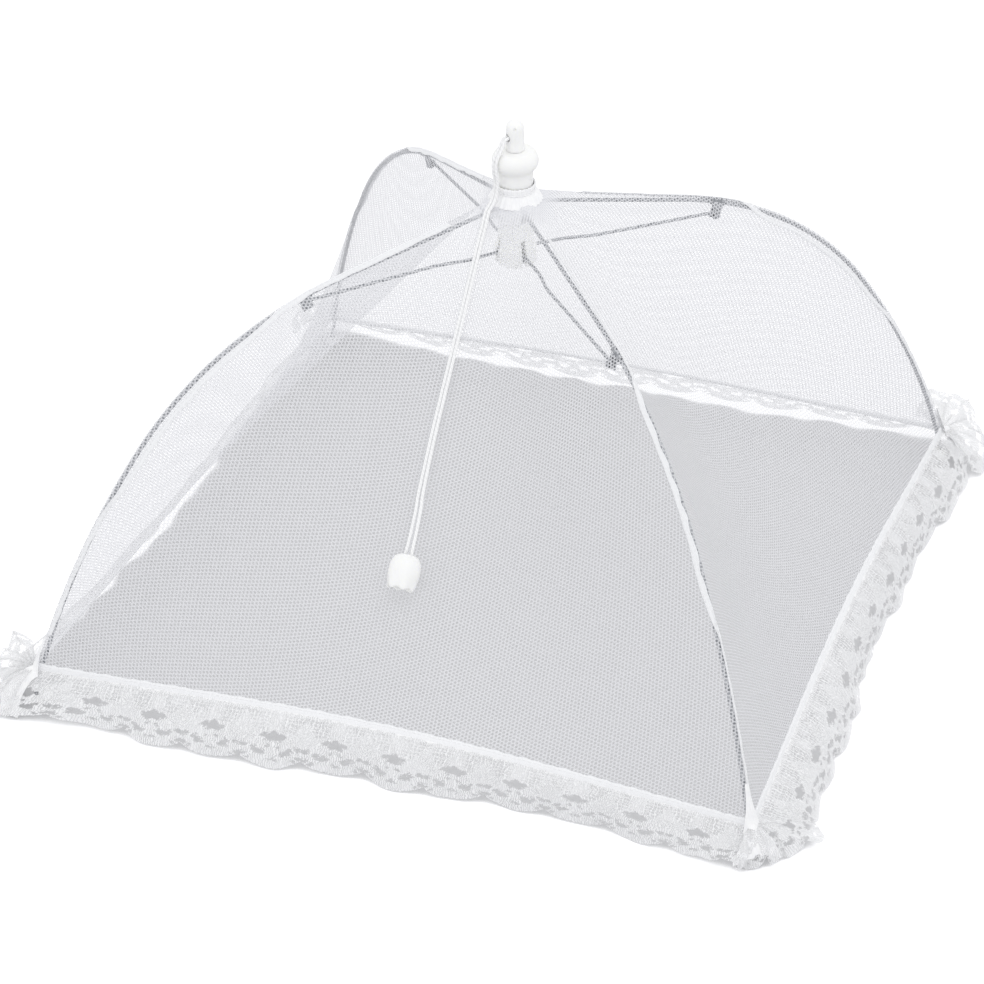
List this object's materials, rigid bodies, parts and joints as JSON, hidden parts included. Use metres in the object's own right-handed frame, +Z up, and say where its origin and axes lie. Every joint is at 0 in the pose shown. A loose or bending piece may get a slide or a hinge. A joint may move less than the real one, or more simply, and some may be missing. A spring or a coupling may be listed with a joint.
{
  "type": "food cover",
  "caption": "Square pop-up food cover: net on folding umbrella ribs, with a lace flounce, and a pull cord with a bead that opens it.",
  "frame": {"origin": "centre of the base, on the table plane", "axes": "+Z up along the hub's axis; -Y towards the side that the pull cord hangs on; X and Y square to the hem's sides"},
  "size_m": [0.4518, 0.4518, 0.291],
  "materials": {
    "white_plastic": "smooth moulded plastic with a soft shine",
    "galvanised_wire": "galvanised drawn wire",
    "net_fabric": "open hexagonal net, held as a closed sheet",
    "lace_fabric": "knitted lace, held as a closed sheet",
    "seam_tape": "woven tape",
    "cord": "thin smooth cord"
  },
  "bodies": {
    "hub": {"finial": "white_plastic", "knob": "white_plastic", "crown": "white_plastic", "crown_ring": "galvanised_wire", "net_collar": "net_fabric", "net_front": "net_fabric", "net_right": "net_fabric", "net_back": "net_fabric", "net_left": "net_fabric", "hem_binding_front": "seam_tape", "hem_binding_right": "seam_tape", "hem_binding_back": "seam_tape", "hem_binding_left": "seam_tape", "lace_front": "lace_fabric", "lace_right": "lace_fabric", "lace_back": "lace_fabric", "lace_left": "lace_fabric", "pull_cord_left": "cord", "pull_cord_right": "cord", "inner_cord_left": "cord", "inner_cord_right": "cord"},
    "runner": {"runner": "white_plastic", "runner_ring": "galvanised_wire", "cord_knot": "cord"},
    "rib_front_right": {"rib_front_right": "galvanised_wire", "foot_cap_front_right": "white_plastic", "rib_clip_front_right": "galvanised_wire", "rib_casing_front_right": "seam_tape"},
    "strut_front_right": {"strut_front_right": "galvanised_wire", "strut_pin_front_right": "galvanised_wire"},
    "rib_back_right": {"rib_back_right": "galvanised_wire", "foot_cap_back_right": "white_plastic", "rib_clip_back_right": "galvanised_wire", "rib_casing_back_right": "seam_tape"},
    "strut_back_right": {"strut_back_right": "galvanised_wire", "strut_pin_back_right": "galvanised_wire"},
    "rib_back_left": {"rib_back_left": "galvanised_wire", "foot_cap_back_left": "white_plastic", "rib_clip_back_left": "galvanised_wire", "rib_casing_back_left": "seam_tape"},
    "strut_back_left": {"strut_back_left": "galvanised_wire", "strut_pin_back_left": "galvanised_wire"},
    "rib_front_left": {"rib_front_left": "galvanised_wire", "foot_cap_front_left": "white_plastic", "rib_clip_front_left": "galvanised_wire", "rib_casing_front_left": "seam_tape"},
    "strut_front_left": {"strut_front_left": "galvanised_wire", "strut_pin_front_left": "galvanised_wire"},
    "bead": {"pull_bead": "white_plastic", "bead_knot": "cord"}
  },
  "joints": [
    {"name": "runner_slide", "type": "slide", "parent": "hub", "child": "runner", "axis": [0, 0, -1], "range_m": [0, 0.17548], "deforming": ["inner_cord_left", "inner_cord_right"]},
    {"name": "rib_fold_front_right", "type": "hinge", "parent": "hub", "child": "rib_front_right", "pos_m": [0.0053, -0.0053, 0.2395], "axis": [0.7071, 0.7071, 0], "range_deg": [0, 46.01]},
    {"name": "rib_fold_back_right", "type": "hinge", "parent": "hub", "child": "rib_back_right", "pos_m": [0.0053, 0.0053, 0.2395], "axis": [-0.7071, 0.7071, 0], "range_deg": [0, 46.01]},
    {"name": "rib_fold_back_left", "type": "hinge", "parent": "hub", "child": "rib_back_left", "pos_m": [-0.0053, 0.0053, 0.2395], "axis": [-0.7071, -0.7071, 0], "range_deg": [0, 46.01]},
    {"name": "rib_fold_front_left", "type": "hinge", "parent": "hub", "child": "rib_front_left", "pos_m": [-0.0053, -0.0053, 0.2395], "axis": [0.7071, -0.7071, 0], "range_deg": [0, 46.01]},
    {"name": "strut_fold_front_right", "type": "hinge", "parent": "runner", "child": "strut_front_right", "pos_m": [0.00608, -0.00608, 0.212], "axis": [-0.7071, -0.7071, 0], "range_deg": [0, 63.31]},
    {"name": "strut_fold_back_right", "type": "hinge", "parent": "runner", "child": "strut_back_right", "pos_m": [0.00608, 0.00608, 0.212], "axis": [0.7071, -0.7071, 0], "range_deg": [0, 63.31]},
    {"name": "strut_fold_back_left", "type": "hinge", "parent": "runner", "child": "strut_back_left", "pos_m": [-0.00608, 0.00608, 0.212], "axis": [0.7071, 0.7071, 0], "range_deg": [0, 63.31]},
    {"name": "strut_fold_front_left", "type": "hinge", "parent": "runner", "child": "strut_front_left", "pos_m": [-0.00608, -0.00608, 0.212], "axis": [-0.7071, 0.7071, 0], "range_deg": [0, 63.31]},
    {"name": "bead_slide", "type": "slide", "parent": "hub", "child": "bead", "axis": [0, 0.6376, 0.7704], "range_m": [0, 0.17548], "deforming": ["pull_cord_left", "pull_cord_right"]}
  ],
  "couplings": [
    {"joint": "rib_fold_front_right", "follows": "runner_slide", "rad_per_m": 4.5751},
    {"joint": "rib_fold_back_right", "follows": "runner_slide", "rad_per_m": 4.5751},
    {"joint": "rib_fold_back_left", "follows": "runner_slide", "rad_per_m": 4.5751},
    {"joint": "rib_fold_front_left", "follows": "runner_slide", "rad_per_m": 4.5751},
    {"joint": "strut_fold_front_right", "follows": "runner_slide", "rad_per_m": 6.2953},
    {"joint": "strut_fold_back_right", "follows": "runner_slide", "rad_per_m": 6.2953},
    {"joint": "strut_fold_back_left", "follows": "runner_slide", "rad_per_m": 6.2953},
    {"joint": "strut_fold_front_left", "follows": "runner_slide", "rad_per_m": 6.2953},
    {"joint": "bead_slide", "follows": "runner_slide", "ratio": 1}
  ]
}
